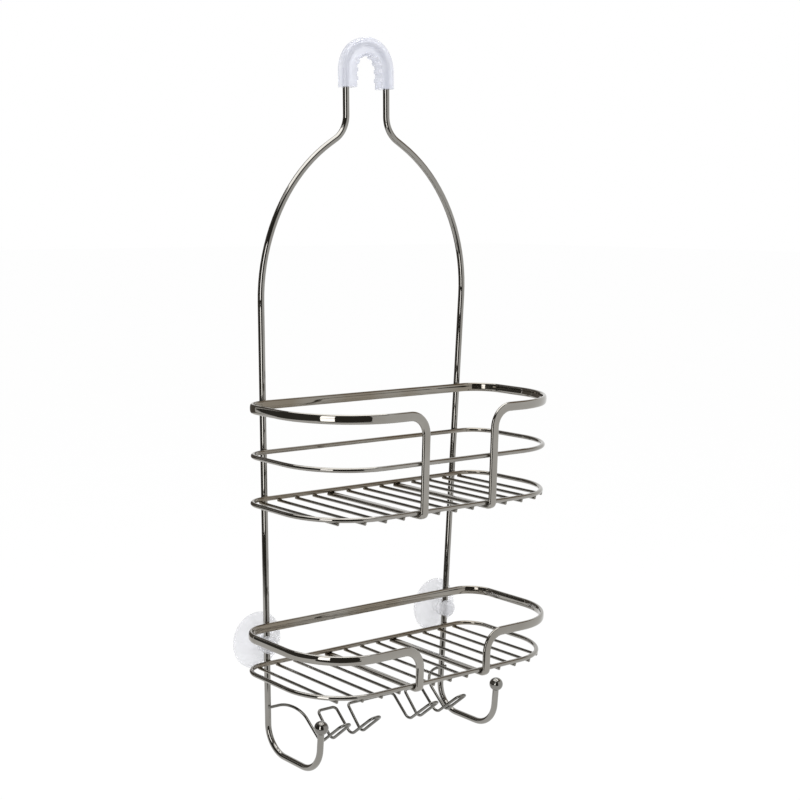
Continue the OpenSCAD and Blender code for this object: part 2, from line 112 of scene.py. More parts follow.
class MaterialShop:
    """Makes the nodes of one material, or of the world."""

    def __init__(self, name: str, tree: bpy.types.NodeTree | None = None) -> None:
        """Starts an empty node tree.

        Args:
            name: The material's name.
            tree: The world's node tree, if this isn't for a material.
        """
        self.material = None
        if tree is None:
            self.material = bpy.data.materials.new(name)
            self.material.use_nodes = True
            tree = self.material.node_tree
        self.tree = tree
        self.tree.nodes.clear()

    def node(self, kind: str, settings: dict, inputs: dict, output: int | str = 0) -> Wave:
        """Adds a node.

        Args:
            kind: Blender's type of node, without ShaderNode.
            settings: Attributes that are set first. "stops" sets a colour ramp's stops.
            inputs: Values, colours or waves by the socket's index or name.
            output: The index or name of the output to wrap.

        Returns:
            The wrapped output socket.
        """
        made = self.tree.nodes.new(f"ShaderNode{kind}")
        for key, value in settings.items():
            if key == "stops":
                self._set_stops(made, value)
            else:
                setattr(made, key, value)
        for key, value in inputs.items():
            if isinstance(value, Wave):
                self.tree.links.new(value.socket, made.inputs[key])
            else:
                made.inputs[key].default_value = value
        return Wave(self, made.outputs[output] if made.outputs else None)

    @staticmethod
    def _set_stops(ramp: bpy.types.ShaderNodeValToRGB, stops: list) -> None:
        """Sets a colour ramp's stops.

        Args:
            ramp: The colour ramp node.
            stops: Pairs of position and colour.
        """
        elements = ramp.color_ramp.elements
        while len(elements) < len(stops):
            elements.new(0.5)
        for element, (position, colour) in zip(elements, stops):
            element.position = position
            element.color = colour

    def place(self) -> Wave:
        """Object coordinates."""
        return self.node("TexCoord", {}, {}, "Object")

    def noise(self, where: Wave, scale: float, detail: float, rough: float = 0.5) -> Wave:
        """A noise of about 0.5, with so many waves a metre and so many octaves of detail."""
        inputs = {"Vector": where, "Scale": scale, "Detail": detail, "Roughness": rough}
        return self.node("TexNoise", {}, inputs)

    def blend(self, factor: Wave, low: Triple, high: Triple) -> Wave:
        """The colour between two plain colours, low at a factor of 0 and high at 1."""
        stops = [(0.0, (*low, 1.0)), (1.0, (*high, 1.0))]
        return self.node("ValToRGB", {"stops": stops}, {"Fac": factor})

    def mixed(self, factor: Wave, first: Wave, second: Triple) -> Wave:
        """The colour between a varying colour at a factor of 0 and a plain one at 1."""
        inputs = {0: factor, 6: first, 7: (*second, 1.0)}
        return self.node("Mix", {"data_type": "RGBA"}, inputs, 2)

    def axis(self, where: Wave, name: str) -> Wave:
        """The coordinate X, Y or Z of a place."""
        return self.node("SeparateXYZ", {}, {0: where}, name)

    def window(self, value: Wave, low: float, high: float) -> Wave:
        """Spreads what lies between low and high over 0 to 1, and clamps the rest."""
        inputs = {"Value": value, "From Min": low, "From Max": high}
        return self.node("MapRange", {"clamp": True}, inputs)

    def bump(self, height: Wave, distance: float) -> Wave:
        """The normal of a height field, where a height of 1 is as deep as the distance in metres."""
        inputs = {"Height": height, "Strength": 0.5, "Distance": distance}
        return self.node("Bump", {}, inputs)

    def principled(self, inputs: dict) -> bpy.types.Material:
        """Ends the material in a Principled BSDF with these inputs."""
        return self.finish(self.node("BsdfPrincipled", {}, inputs))

    def finish(self, surface: Wave) -> bpy.types.Material:
        """Ends the material in a surface shader."""
        self.node("OutputMaterial", {}, {"Surface": surface})
        return self.material

    def emission(self, colour: Triple) -> Wave:
        """A plain glow of a colour."""
        return self.node("Emission", {}, {"Color": (*colour, 1.0), "Strength": 1.0})


# ---------- finishes


@dataclass(frozen=True)
class DarkNickel:
    """Polished dark nickel plate on drawn steel wire.

    Attributes:
        name: The material's name.
        bright: The plate's colour where it is thick.
        deep: Its colour where it is thin and browner.
        polish: The lowest roughness.
        haze: How much roughness the dull patches add.
        ripple: How far the drawn wire's surface waves, in metres.
        tan: The browner tone of the painted reflection on the runs along the wall.
        painted_reflection: How much of that tone they take on.
    """

    name: str
    bright: Triple = (0.325, 0.313, 0.288)
    deep: Triple = (0.265, 0.25, 0.224)
    polish: float = 0.025
    haze: float = 0.035
    ripple: float = 0.000012
    tan: Triple = (0.19, 0.158, 0.115)
    painted_reflection: float = 0.8

    def build(self) -> bpy.types.Material:
        """Makes the material.

        Returns:
            The material.
        """
        shop = MaterialShop(self.name)
        where = shop.place()
        cloud = shop.noise(where, scale=26.0, detail=3.0)
        grain = shop.noise(where, scale=900.0, detail=2.0)
        dull = shop.noise(where, scale=150.0, detail=4.0, rough=0.6)
        reflection_patches = shop.noise(where, scale=14.0, detail=2.0)
        drawn = shop.noise(where, scale=70.0, detail=1.0)
        plate = shop.blend(shop.window(cloud, 0.3, 0.7), self.deep, self.bright)
        # Painted reflection: towards the wall the wires take on the browner tone in patches, standing in
        # for brown things that they would reflect.
        depth = shop.window(shop.axis(where, "Y"), BACK_START, BACK_END)
        painted_reflection = depth * shop.window(reflection_patches, 0.25, 0.6) * self.painted_reflection
        return shop.principled(
            {
                "Base Color": shop.mixed(painted_reflection, plate, self.tan),
                "Metallic": 1.0,
                "Roughness": self.polish + shop.window(dull, 0.45, 0.8) * self.haze + grain * 0.01,
                "Normal": shop.bump(drawn + grain * 0.015, self.ripple),
            }
        )


@dataclass(frozen=True)
class SoftPvc:
    """Soft PVC, as moulded.

    Attributes:
        name: The material's name.
        clear: Its colour where it is clearest.
        cloudy: Its colour where it is cloudy.
        transmission: How much light passes.
        roughness: The lowest roughness.
        flow: How deep the moulded surface waves, in metres.
        body: How much of it isn't seen straight through.
    """

    name: str
    clear: Triple
    cloudy: Triple
    transmission: float
    roughness: float
    flow: float
    body: float

    def build(self) -> bpy.types.Material:
        """Makes the material.

        Returns:
            The material.
        """
        shop = MaterialShop(self.name)
        where = shop.place()
        cloud = shop.noise(where, scale=90.0, detail=3.0)
        film = shop.noise(where, scale=420.0, detail=3.0, rough=0.6)
        return shop.principled(
            {
                "Base Color": shop.blend(shop.window(cloud, 0.3, 0.7), self.cloudy, self.clear),
                "Roughness": self.roughness + shop.window(film, 0.4, 0.8) * 0.08,
                "Transmission Weight": self.transmission,
                "IOR": 1.45,
                "Alpha": self.body,
                "Normal": shop.bump(film + cloud * 2.0, self.flow),
            }
        )


class Finish(Enum):
    """Every finish of the caddy."""

    FRAME = DarkNickel("frame_plate", (0.30, 0.29, 0.27), (0.25, 0.24, 0.22), painted_reflection=0.0)
    RIM = DarkNickel("rim_plate", ripple=0.000016)
    RING = DarkNickel("ring_plate", deep=(0.245, 0.232, 0.21))
    FLOOR = DarkNickel("floor_wire_plate", (0.265, 0.255, 0.235), (0.205, 0.195, 0.175))
    RAZOR = DarkNickel("razor_wire_plate", (0.20, 0.196, 0.182), (0.14, 0.136, 0.122), painted_reflection=0.0)
    BALL = DarkNickel("ball_plate", (0.24, 0.235, 0.22), (0.2, 0.19, 0.175), 0.03, 0.02, 0.000008, painted_reflection=0.0)
    WELD = DarkNickel("weld_plate", (0.17, 0.16, 0.14), (0.10, 0.092, 0.078), 0.2, 0.15, 0.00008)
    GRIP = SoftPvc("grip_pvc_soft", (0.87, 0.885, 0.955), (0.79, 0.81, 0.905), 0.33, 0.04, 0.00001, 0.66)
    CUP = SoftPvc("cup_pvc_clear", (0.91, 0.915, 0.945), (0.89, 0.895, 0.93), 0.52, 0.08, 0.00002, 0.68)

    def material(self) -> bpy.types.Material:
        """The finish's material, made on first use."""
        return bpy.data.materials.get(self.value.name) or self.value.build()


# ---------- modelling tools


def deselect() -> None:
    """Leaves nothing selected, in object mode."""
    if bpy.context.object and bpy.context.object.mode != "OBJECT":
        bpy.ops.object.mode_set(mode="OBJECT")
    bpy.ops.object.select_all(action="DESELECT")


def take(piece: Piece) -> None:
    """Makes one object the only selected and the active one.

    Args:
        piece: The object.
    """
    deselect()
    piece.select_set(True)
    bpy.context.view_layer.objects.active = piece


def primitive(kind: str, scale: Triple = (1.0, 1.0, 1.0), **settings: object) -> Piece:
    """Adds a primitive and brings its place, turn and scale into its mesh.

    Args:
        kind: Blender's name of the primitive.
        scale: The primitive's scale.
        settings: What the primitive's operator takes.

    Returns:
        The new object, at the origin.
    """
    deselect()
    getattr(bpy.ops.mesh, f"primitive_{kind}_add")(**settings)
    piece = bpy.context.object
    piece.scale = scale
    bpy.ops.object.transform_apply()
    return piece


def open_mesh(piece: Piece, kind: str = "VERT") -> None:
    """Puts an object into edit mode with all of it selected.

    Args:
        piece: The object.
        kind: "VERT" to go on by vertices, or "FACE" by faces.
    """
    take(piece)
    bpy.ops.object.mode_set(mode="EDIT")
    bpy.ops.mesh.select_mode(type=kind)
    bpy.ops.mesh.select_all(action="SELECT")


def pick(piece: Piece, kind: str, wanted: Callable) -> None:
    """Selects parts of a mesh by a test, and leaves the object in edit mode.

    Args:
        piece: The object.
        kind: "VERT" or "FACE".
        wanted: A function of a vertex's place, or of a face's centre and normal.
    """
    open_mesh(piece, kind)
    bpy.ops.mesh.select_all(action="DESELECT")
    bpy.ops.object.mode_set(mode="OBJECT")
    if kind == "VERT":
        for vertex in piece.data.vertices:
            vertex.select = wanted(vertex.co)
    else:
        for face in piece.data.polygons:
            face.select = wanted(face.center, face.normal)
    bpy.ops.object.mode_set(mode="EDIT")


def close_mesh(piece: Piece, fill: bool) -> None:
    """Merges doubles and turns the faces outwards.

    Args:
        piece: The object.
        fill: Whether open ends are filled.
    """
    open_mesh(piece)
    bpy.ops.mesh.remove_doubles(threshold=DOUBLES)
    if fill:
        bpy.ops.mesh.fill_holes(sides=0)
        bpy.ops.mesh.select_all(action="SELECT")
    bpy.ops.mesh.normals_make_consistent(inside=False)
    bpy.ops.object.mode_set(mode="OBJECT")


def settle(piece: Piece, smooth_degrees: float = 40.0) -> None:
    """Brings a piece's place into its mesh, closes it and shades it.

    Args:
        piece: The piece.
        smooth_degrees: Edges sharper than this stay sharp.
    """
    take(piece)
    bpy.ops.object.transform_apply()
    close_mesh(piece, fill=False)
    bpy.ops.object.shade_smooth_by_angle(angle=math.radians(smooth_degrees))


def cut(piece: Piece, tool: Piece, operation: str) -> None:
    """Applies a Boolean modifier and removes the tool.

    Args:
        piece: The object that is changed.
        tool: The other object.
        operation: UNION, DIFFERENCE or INTERSECT.
    """
    take(piece)
    step = piece.modifiers.new("cut", "BOOLEAN")
    step.operation = operation
    step.solver = "EXACT"
    step.object = tool
    bpy.ops.object.modifier_apply(modifier=step.name)
    bpy.data.objects.remove(tool)


def pull(step: Vector | Triple) -> None:
    """Extrudes what is selected in edit mode by a step along X, Y and Z."""
    bpy.ops.mesh.extrude_region_move(TRANSFORM_OT_translate={"value": tuple(step)})


def bend(centre: Vector | Triple, axis: Vector | Triple, steps: int, angle: float = math.pi / 2) -> None:
    """Spins what is selected in edit mode, clockwise as seen with the axis pointing to the eye."""
    bpy.ops.mesh.spin(steps=steps, angle=angle, center=centre, axis=axis)


def chain(points: list[Triple]) -> Piece:
    """Draws a chain of edges by extruding one vertex from point to point.

    Args:
        points: The points.

    Returns:
        The chain, in edit mode with all of it selected.
    """
    piece = primitive("plane", size=MM)
    open_mesh(piece)
    bpy.ops.mesh.merge(type="CENTER")
    bpy.ops.transform.translate(value=points[0])
    for here, there in zip(points, points[1:]):
        pull([there[axis] - here[axis] for axis in range(3)])
    bpy.ops.mesh.select_all(action="SELECT")
    return piece


def lathe(outline: list[tuple[float, float]], steps: int) -> Piece:
    """Turns an open outline, which starts and ends on the Y axis, into a closed solid.

    Args:
        outline: Pairs of radius and place along Y, in metres.
        steps: Faces round the solid.

    Returns:
        The solid.
    """
    piece = chain([(radius, along, 0.0) for radius, along in outline])
    bend(ORIGIN, ALONG_Y, steps, math.tau)
    settle(piece)
    return piece


def copy_to(piece: Piece, place: Vector, turn: Euler | None = None) -> Piece:
    """Copies an object with a mesh of its own.

    Args:
        piece: The object, at the origin.
        place: Where the copy goes.
        turn: How the copy is turned about the origin first.

    Returns:
        The copy.
    """
    take(piece)
    bpy.ops.object.duplicate(linked=False)
    twin = bpy.context.object
    twin.location = place
    twin.rotation_euler = turn or Euler()
    bpy.ops.object.transform_apply()
    return twin


def join(pieces: list[Piece]) -> Piece:
    """Joins objects into the first one.

    Args:
        pieces: The objects.

    Returns:
        The first one.
    """
    deselect()
    for piece in pieces:
        piece.select_set(True)
    bpy.context.view_layer.objects.active = pieces[0]
    bpy.ops.object.join()
    return bpy.context.view_layer.objects.active


def dress(piece: Piece, finish: Finish) -> None:
    """Gives an object one finish, in every slot that it has.

    Args:
        piece: The object.
        finish: Its finish.
    """
    slots = piece.data.materials
    if len(slots):
        for index in range(len(slots)):
            slots[index] = finish.material()
    else:
        slots.append(finish.material())


def fit(piece: Piece, name: str, body: str, finish: Finish) -> None:
    """Names a finished piece, dresses it and hands it to its body.

    Args:
        piece: The piece.
        name: Its name.
        body: The body that it moves with.
        finish: Its finish.
    """
    piece.name = name
    dress(piece, finish)
    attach(piece, body)
    log.info("%s: %d faces, on %s", name, len(piece.data.polygons), body)


# ---------- wires


@dataclass
class WireWork:
    """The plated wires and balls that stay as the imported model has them.

    Attributes:
        finishes: The finish of each family of nodes, by a part of the node's name.
    """

    finishes: tuple[tuple[str, Finish], ...] = (
        ("hook_ball", Finish.BALL),
        ("_ring", Finish.RING),
        ("_floor_wire", Finish.FLOOR),
    )

    def dress(self) -> None:
        """Gives every one of them its finish."""
        for name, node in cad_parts.items():
            for part, finish in self.finishes:
                if part in name:
                    dress(node, finish)
                    log.info("%s: %s", name, finish.name)


@dataclass(frozen=True)
class Hanger:
    """The shape of the frame wire, as far as other pieces follow it.

    Heights count up from its lowest run, and depths from the uprights.

    Attributes:
        wire_r: Radius of the wire.
        half_span: Distance from the middle to each upright, at its foot.
        upright_lean: Outward lean of each upright, in degrees.
        saddle_height: Height of the middle of the saddle grip.
        neck_length: Length of the neck.
        neck_back: How far the frame has come back where the neck starts.
        neck_lean: Lean of the neck to the wall, in degrees.
        loop_r: Half the width of the loop over the shower arm.
        loop_flat: Length of straight wire at the top of the loop.
    """

    wire_r: float = 3.0 * MM
    half_span: float = 108.3 * MM
    upright_lean: float = 1.7
    saddle_height: float = 623.6 * MM
    neck_length: float = 54.0 * MM
    neck_back: float = 4.2 * MM
    neck_lean: float = 2.5
    loop_r: float = 23.75 * MM
    loop_flat: float = 0.8 * MM

    def place(self, x: float, depth: float, height: float) -> Vector:
        """The point at x that lies this deep behind the uprights and this high above the lowest run."""
        back = self.neck_back + self.neck_length * math.sin(math.radians(self.neck_lean))
        return Vector((x, depth - back, height - self.saddle_height))

    def upright_x(self, height: float) -> float:
        """X of the right upright at a height."""
        return self.half_span + height * math.tan(math.radians(self.upright_lean))


HANGER = Hanger()


@dataclass
class BentWire:
    """A round wire along the corners of a path, each rounded by its own bend radius.

    Attributes:
        corners: The corners of the right half, from the tip to the last one before the middle.
        bends: The bend radius at each corner. The first stands for the tip and isn't used.
        radius: Radius of the wire.
        degrees_a_slice: How finely the bends are cut.
        sides: Faces round the wire.
    """

    corners: list[Vector]
    bends: list[float]
    radius: float
    degrees_a_slice: float
    sides: int = 28

    def build(self) -> Piece:
        """Sweeps the wire from the right tip to the left one.

        Returns:
            The wire.
        """
        left = [Vector((-corner.x, corner.y, corner.z)) for corner in reversed(self.corners)]
        path = self.corners + left
        bends = self.bends + list(reversed(self.bends))
        tilt = (path[1] - path[0]).normalized().to_track_quat("Z", "Y").to_euler()
        settings = {"vertices": self.sides, "radius": self.radius, "fill_type": "NGON"}
        wire = primitive("circle", **settings, location=path[0], rotation=tilt)
        open_mesh(wire)
        here = path[0]
        for before, corner, after, radius in zip(path, path[1:], path[2:], bends[1:]):
            along = (corner - before).normalized()
            ahead = (after - corner).normalized()
            turn = along.angle(ahead)
            setback = radius * math.tan(turn / 2)
            start = corner - along * setback
            pull(start - here)
            inward = (ahead - along * along.dot(ahead)).normalized()
            slices = max(4, round(math.degrees(turn) / self.degrees_a_slice))
            bend(start + inward * radius, ahead.cross(along).normalized(), slices, turn)
            here = corner + ahead * setback
        pull(path[-1] - here)
        settle(wire, 50.0)
        return wire


@dataclass
class FrameWire:
    """The long wire that carries everything: two hooks, two uprights, shoulders, neck and loop.

    Heights and depths count as in Hanger.

    Attributes:
        shoulder_height: Where the line of each upright meets its shoulder line.
        shoulder_r: Radius of the sweep from upright to shoulder.
        neck_r: Radius of the bend from shoulder to neck.
        hook_depth: Reach of a hook.
        hook_rise: Height of the ball tip's centre.
        hook_opening: How far the ball leans out.
        hook_r: Radius of the two bends of a hook.
    """

    shoulder_height: float = 511.0 * MM
    shoulder_r: float = 157.0 * MM
    neck_r: float = 25.0 * MM
    hook_depth: float = 76.5 * MM
    hook_rise: float = 44.8 * MM
    hook_opening: float = 2.6 * MM
    hook_r: float = 25.0 * MM

    def build(self) -> None:
        """Builds the wire in place of its plain solid."""
        lean = math.radians(HANGER.neck_lean)
        foot = HANGER.upright_x(0.0)
        neck_height = HANGER.saddle_height - HANGER.neck_length * math.cos(lean)
        corners = [
            HANGER.place(foot, -self.hook_depth - self.hook_opening, self.hook_rise),
            HANGER.place(foot, -self.hook_depth, 0.0),
            HANGER.place(foot, 0.0, 0.0),
            HANGER.place(HANGER.upright_x(self.shoulder_height), 0.0, self.shoulder_height),
            HANGER.place(HANGER.loop_r, HANGER.neck_back, neck_height),
            Vector((HANGER.loop_r, math.sin(lean) * HANGER.loop_r, math.cos(lean) * HANGER.loop_r)),
        ]
        loop_bend = HANGER.loop_r - HANGER.loop_flat / 2
        bends = [0.0, self.hook_r, self.hook_r, self.shoulder_r, self.neck_r, loop_bend]
        wire = BentWire(corners, bends, HANGER.wire_r, degrees_a_slice=3.0).build()
        fit(wire, "bent_frame_wire", CADDY, Finish.FRAME)
        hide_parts("frame_wire")


@dataclass
class RazorWire:
    """The four razor hooks, bent from one thin wire that is welded to both uprights.

    Each hook's stops are its reach, its height and the gap between its two wires.

    Attributes:
        wire_r: Radius of the wire.
        weld_height: Height of its welds to the uprights.
        weld_sink: How deep wires melt into each other.
        end_tail: How far its ends run past the uprights.
        lead_r: Radius of the wide sweep into the outer hook.
        hooks_x: Places of the outer and inner right hooks.
        bar: The stop where a hook leaves the bar.
        seat: Its lowest stop.
        tip: The stop at its tip.
        bar_r: Bend radius at the bar.
        seat_r: Bend radius at the seat.
        tip_r: Bend radius of the tip.
    """

    wire_r: float = 1.4 * MM
    weld_height: float = 42.6 * MM
    weld_sink: float = 0.1 * MM
    end_tail: float = 2.0 * MM
    lead_r: float = 21.0 * MM
    hooks_x: tuple[float, float] = (72.0 * MM, 36.0 * MM)
    bar: Triple = (18.3 * MM, 34.1 * MM, 14.7 * MM)
    seat: Triple = (41.2 * MM, 12.8 * MM, 12.7 * MM)
    tip: Triple = (70.3 * MM, 37.6 * MM, 11.5 * MM)
    bar_r: float = 4.0 * MM
    seat_r: float = 7.0 * MM
    tip_r: float = 5.4 * MM

    def build(self) -> None:
        """Builds the wire in place of its plain solid."""
        right = (self.bar, self.seat, self.tip)
        runs = []
        for hook_x in self.hooks_x:
            for side, stops in ((1, right), (-1, tuple(reversed(right)))):
                for reach, height, gap in stops:
                    runs.append(HANGER.place(hook_x + side * gap / 2, -reach, height))
        weld_depth = self.weld_sink - HANGER.wire_r - self.wire_r
        end_x = HANGER.upright_x(self.weld_height) + self.end_tail
        ends = [HANGER.place(x, weld_depth, self.weld_height) for x in (end_x, runs[0].x)]
        hook = [self.bar_r, self.seat_r, self.tip_r, self.tip_r, self.seat_r, self.bar_r]
        bends = [0.0, self.lead_r, *hook[1:], *hook]
        wire = BentWire([*ends, *runs[1:]], bends, self.wire_r, degrees_a_slice=6.0).build()
        fit(wire, "bent_razor_wire", CADDY, Finish.RAZOR)
        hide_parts("razor_hook_wire")


# ---------- rims


@dataclass
class BasketRim:
    """The rim of a basket with its legs: one flattened wire with softly crowned faces.

    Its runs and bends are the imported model's, and only the section is finer.

    Attributes:
        basket: "upper" or "lower".
        front_r: Radius of the front corners.
        width: Width of the flattened wire.
        thickness: Thickness of that wire.
        crown: Exponent of the section's outline: 2 is an ellipse and more is flatter.
        outline_points: How many points that outline has.
        leg_top_r: Radius of the bend from the rim down into a leg.
        toe_r: Radius of the bend from a leg to its run under the floor.
        back_r: Radius of the back corners.
        tail: How far the runs under the floor go past the middle of the rim's back.
        leg_steps: Floor wire spacings from the middle to a leg.
    """

    basket: str
    front_r: float
    width: float = 8.3 * MM
    thickness: float = 4.0 * MM
    crown: float = 2.6
    outline_points: int = 40
    leg_top_r: float = 18.0 * MM
    toe_r: float = 4.0 * MM
    back_r: float = 25.0 * MM
    tail: float = 2.3 * MM
    leg_steps: int = 2

    def build(self) -> None:
        """Builds the rim in place of its plain solid."""
        node = f"{self.basket}_rim"
        low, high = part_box(node)
        half = high.x - self.thickness / 2
        front = low.y + self.thickness / 2
        back = high.y - self.tail
        level = high.z - self.width / 2
        under = low.z + self.thickness / 2
        leg = self.leg_steps * self._pitch()
        rim = chain(self._section(leg, high.y, under))
        bpy.ops.mesh.edge_face_add()
        turn_r, toe = self.leg_top_r, self.toe_r
        pull((0.0, front + toe - high.y, 0.0))
        bend((leg, front + toe, under + toe), (1, 0, 0), steps=10)
        pull((0.0, 0.0, level - turn_r - under - toe))
        bend((leg + turn_r, front, level - turn_r), (0, -1, 0), steps=24)
        pull((half - self.front_r - leg - turn_r, 0.0, 0.0))
        bend((half - self.front_r, front + self.front_r, level), (0, 0, -1), steps=56)
        pull((0.0, back - self.back_r - front - self.front_r, 0.0))
        bend((half - self.back_r, back - self.back_r, level), (0, 0, -1), steps=28)
        pull((self.back_r - half, 0.0, 0.0))
        bpy.ops.mesh.delete(type="FACE")
        self._mirror(rim)
        settle(rim, 50.0)
        fit(rim, f"{self.basket}_crowned_rim", CADDY, Finish.RIM)
        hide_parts(node)

    def _pitch(self) -> float:
        """Spacing of the floor wires, from the middle one and its neighbour.

        Returns:
            The distance between their middles.
        """
        middle = (FLOOR_WIRES_A_BASKET + 1) // 2
        boxes = [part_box(f"{self.basket}_floor_wire_{middle + step}") for step in (0, 1)]
        return boxes[1][0].x - boxes[0][0].x

    def _section(self, x: float, y: float, z: float) -> list[Triple]:
        """The outline of the flattened wire, in a plane across Y.

        Args:
            x: Its middle along X.
            y: Its place along Y.
            z: Its middle along Z.

        Returns:
            The outline's points.
        """
        power = 2.0 / self.crown
        points = []
        for index in range(self.outline_points):
            turn = math.tau * (index + 0.5) / self.outline_points
            across = math.copysign(abs(math.cos(turn)) ** power, math.cos(turn))
            up = math.copysign(abs(math.sin(turn)) ** power, math.sin(turn))
            points.append((x + across * self.width / 2, y, z + up * self.thickness / 2))
        return points

    @staticmethod
    def _mirror(half_rim: Piece) -> None:
        """Adds the left half of a rim.

        Args:
            half_rim: The right half, open in the middle of its back.
        """
        take(half_rim)
        step = half_rim.modifiers.new("left", "MIRROR")
        step.use_clip = True
        step.merge_threshold = 0.01 * MM
        bpy.ops.object.modifier_apply(modifier=step.name)


# ---------- welds and wire ends


@dataclass
class WeldWork:
    """Weld nuggets where wires cross, and the domed ends of the cut wires.

    Attributes:
        nugget: Half sizes of a nugget under a ring.
        tall_nugget: Half sizes of a nugget at an upright.
        tall_offset: How far to the side of an upright's middle that one sits.
        rim_half: Half the width of the rims' flattened wire.
        ring_r: Radius of the ring wires.
        floor_r: Radius of the floor wires.
        front_tail: How far floor wires run past the front of a ring's centre line.
        back_tail: How far they run past its back.
        dome: How far the end of a cut wire bulges.
        unevenness: How far the surface of a nugget or an end wanders.
    """

    nugget: Triple = (2.3 * MM, 1.5 * MM, 1.2 * MM)
    tall_nugget: Triple = (1.3 * MM, 1.5 * MM, 2.2 * MM)
    tall_offset: float = 1.6 * MM
    rim_half: float = 4.15 * MM
    ring_r: float = 2.1 * MM
    floor_r: float = 1.4 * MM
    front_tail: float = 0.8 * MM
    back_tail: float = 2.4 * MM
    dome: float = 0.55 * MM
    unevenness: float = 0.08 * MM

    def build(self) -> None:
        """Builds the nuggets at the rings and uprights, and the ends of the floor wires."""
        under, ends = [], []
        numbers = range(1, FLOOR_WIRES_A_BASKET + 1)
        for name in [f"{basket}_floor_wire_{number}" for basket in BASKETS for number in numbers]:
            low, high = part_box(name)
            middle = (low + high) / 2
            for end_y, inward in ((low.y, self.front_tail), (high.y, -self.back_tail)):
                under.append(Vector((middle.x, end_y + inward, high.z)))
                ends.append(Vector((middle.x, end_y, middle.z)))
        end = (self.floor_r, self.dome, self.floor_r)
        self._spread(self.nugget, under, "floor_weld_nuggets", Finish.WELD)
        self._spread(self.tall_nugget, self._crossings(), "upright_weld_nuggets", Finish.WELD)
        self._spread(end, ends, "floor_wire_ends", Finish.FLOOR)

    def _crossings(self) -> list[Vector]:
        """The two sides of each contact of an upright with a ring or rim.

        Returns:
            Their places.
        """
        halves = {
            "upper_rim": self.rim_half,
            "upper_middle_ring": self.ring_r,
            "upper_floor_ring": self.ring_r,
            "lower_rim": self.rim_half,
            "lower_floor_ring": self.ring_r,
        }
        spots = []
        for name, half in halves.items():
            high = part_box(name)[1]
            level = high.z - half
            reach = HANGER.upright_x(level + HANGER.saddle_height)
            for side in (-reach, reach):
                spots += [Vector((side + edge * self.tall_offset, high.y, level)) for edge in (-1, 1)]
        return spots

    def _spread(self, half: Triple, spots: list[Vector], name: str, finish: Finish) -> None:
        """Puts a small squashed ball on each spot and makes one piece of them.

        Args:
            half: Half sizes of the ball along X, Y and Z.
            spots: Where the balls go.
            name: The name of the piece.
            finish: Its finish.
        """
        ball = primitive("ico_sphere", half, subdivisions=2, radius=1.0)
        open_mesh(ball)
        bpy.ops.transform.vertex_random(offset=self.unevenness, seed=3)
        twins = [copy_to(ball, spot) for spot in spots]
        bpy.data.objects.remove(ball)
        piece = join(twins)
        take(piece)
        bpy.ops.object.shade_smooth()
        fit(piece, name, CADDY, finish)


# ---------- saddle grip


